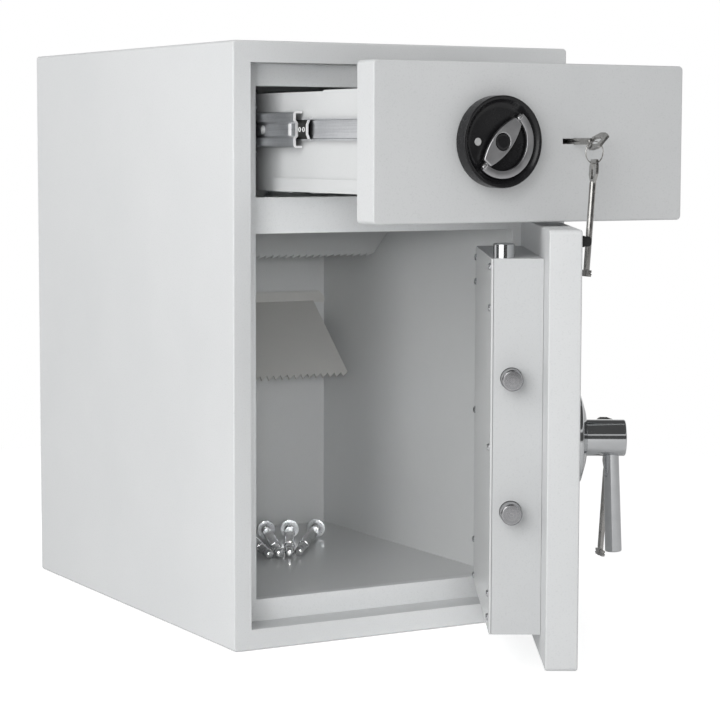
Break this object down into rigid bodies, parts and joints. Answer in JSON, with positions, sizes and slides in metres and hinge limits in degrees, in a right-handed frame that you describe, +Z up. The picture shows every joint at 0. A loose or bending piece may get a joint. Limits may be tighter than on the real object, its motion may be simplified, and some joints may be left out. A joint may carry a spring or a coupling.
{
  "type": "drop safe with deposit drawer",
  "caption": "Steel deposit safe: a pull-out drawer tips its tray over a chute with toothed baffles, above a hinged bolt-work door with lever and key lock.",
  "frame": {"origin": "middle of the cabinet footprint, on its underside", "axes": "+Z up, +X to the right as seen from the front, -Y towards the front"},
  "size_m": [0.39, 0.8197, 0.6],
  "materials": {
    "casing": "fine textured powder coat",
    "interior": "satin paint",
    "filling": "rough barrier concrete",
    "zinc": "bright zinc plate",
    "polished": "polished and satin chrome plate",
    "bolt_steel": "turned steel",
    "key": "nickel plate",
    "black": "black moulded plastic",
    "rubber": "black rubber"
  },
  "bodies": {
    "cabinet": {"outer_casing": "casing", "stop_frame": "casing", "inner_liner": "interior", "barrier_filling": "filling", "chute_deck": "interior", "lower_baffle": "interior", "tilt_track_left": "zinc", "tilt_track_right": "zinc", "slide_cabinet_left": "zinc", "slide_cabinet_right": "zinc", "hinge_body_lower": "casing", "hinge_body_upper": "casing", "anchor_bolt_1": "zinc", "anchor_bolt_2": "zinc", "anchor_bolt_3": "zinc", "anchor_bolt_4": "zinc"},
    "slide_middle": {"slide_middle_left": "zinc", "slide_middle_right": "zinc", "ball_cage_left": "black", "ball_cage_right": "black"},
    "drawer": {"slide_drawer_left": "zinc", "slide_drawer_right": "zinc", "drawer_front_plate": "casing", "drawer_box": "interior", "lock_cover": "interior", "tray_rod": "zinc", "drawer_lock_case": "zinc", "handle_disc": "black"},
    "tray": {"deposit_tray": "interior", "tray_roller_left": "zinc", "tray_roller_right": "zinc"},
    "turning_handle": {"turn_plate": "polished", "turn_spindle": "black"},
    "pull_ring": {"pull_ring": "polished"},
    "drawer_latch": {"latch_bolt": "zinc"},
    "drawer_dead_bolt": {"dead_bolt": "bolt_steel"},
    "drawer_key": {"drawer_key": "key", "drawer_key_ring": "polished"},
    "door": {"door_slab": "casing", "bolt_case": "casing", "inner_cover": "casing", "door_lock_case": "zinc", "rubber_buffer": "rubber", "rosette": "polished", "hinge_door_lower": "casing", "hinge_door_upper": "casing"},
    "lever": {"lever_hub": "polished", "lever_arm": "polished", "lever_spindle": "zinc"},
    "side_bolts": {"side_bolt_upper": "bolt_steel", "side_bolt_lower": "bolt_steel", "bolt_carrier": "zinc"},
    "top_bolt": {"top_bolt": "bolt_steel", "top_link": "zinc"},
    "door_key": {"door_key": "key", "door_key_ring": "polished"}
  },
  "joints": [
    {"name": "drawer_slide", "type": "slide", "parent": "cabinet", "child": "drawer", "axis": [0, 1, 0], "range_m": [0, 0.23]},
    {"name": "slide_middle_travel", "type": "slide", "parent": "cabinet", "child": "slide_middle", "axis": [0, 1, 0], "range_m": [0, 0.115]},
    {"name": "tray_tilt", "type": "hinge", "parent": "drawer", "child": "tray", "pos_m": [0, -0.231, 0.456], "axis": [-1, 0, 0], "range_deg": [0, 18]},
    {"name": "handle_turn", "type": "hinge", "parent": "drawer", "child": "turning_handle", "pos_m": [-0.0428, -0.485, 0.5026], "axis": [0, 1, 0], "range_deg": [0, 90]},
    {"name": "ring_fold", "type": "hinge", "parent": "turning_handle", "child": "pull_ring", "pos_m": [-0.0428, -0.4971, 0.5026], "axis": [-0.6494, 0, -0.7604], "range_deg": [0, 90]},
    {"name": "latch_slide", "type": "slide", "parent": "drawer", "child": "drawer_latch", "axis": [0, 0, -1], "range_m": [0, 0.012]},
    {"name": "drawer_key_turn", "type": "hinge", "parent": "drawer", "child": "drawer_key", "pos_m": [0.046, -0.485, 0.5033], "axis": [0, -1, 0], "range_deg": [0, 135]},
    {"name": "dead_bolt_slide", "type": "slide", "parent": "drawer", "child": "drawer_dead_bolt", "axis": [0, 0, -1], "range_m": [0, 0.012]},
    {"name": "door_swing", "type": "hinge", "parent": "cabinet", "child": "door", "pos_m": [0.18, -0.265, 0.225], "axis": [0, 0, 1], "range_deg": [-60.6, 55]},
    {"name": "lever_turn", "type": "hinge", "parent": "door", "child": "lever", "pos_m": [0.06201, -0.45402, 0.221], "axis": [-0.8712, 0.4909, 0], "range_deg": [0, 90]},
    {"name": "side_bolts_slide", "type": "slide", "parent": "door", "child": "side_bolts", "axis": [-0.4909, -0.8712, 0], "range_m": [0, 0.024]},
    {"name": "top_bolt_slide", "type": "slide", "parent": "door", "child": "top_bolt", "axis": [0, 0, 1], "range_m": [0, 0.012]},
    {"name": "door_key_turn", "type": "hinge", "parent": "door", "child": "door_key", "pos_m": [0.10035, -0.38598, 0.221], "axis": [0.8712, -0.4909, 0], "range_deg": [0, 135]}
  ],
  "couplings": [
    {"joint": "slide_middle_travel", "follows": "drawer_slide", "ratio": 0.5},
    {"joint": "tray_tilt", "follows": "drawer_slide", "rad_per_m": 1.3659},
    {"joint": "handle_turn", "follows": "latch_slide", "rad_per_m": 130.9},
    {"joint": "drawer_key_turn", "follows": "dead_bolt_slide", "rad_per_m": 196.35},
    {"joint": "lever_turn", "follows": "side_bolts_slide", "rad_per_m": 65.45},
    {"joint": "top_bolt_slide", "follows": "side_bolts_slide", "ratio": 0.5}
  ]
}
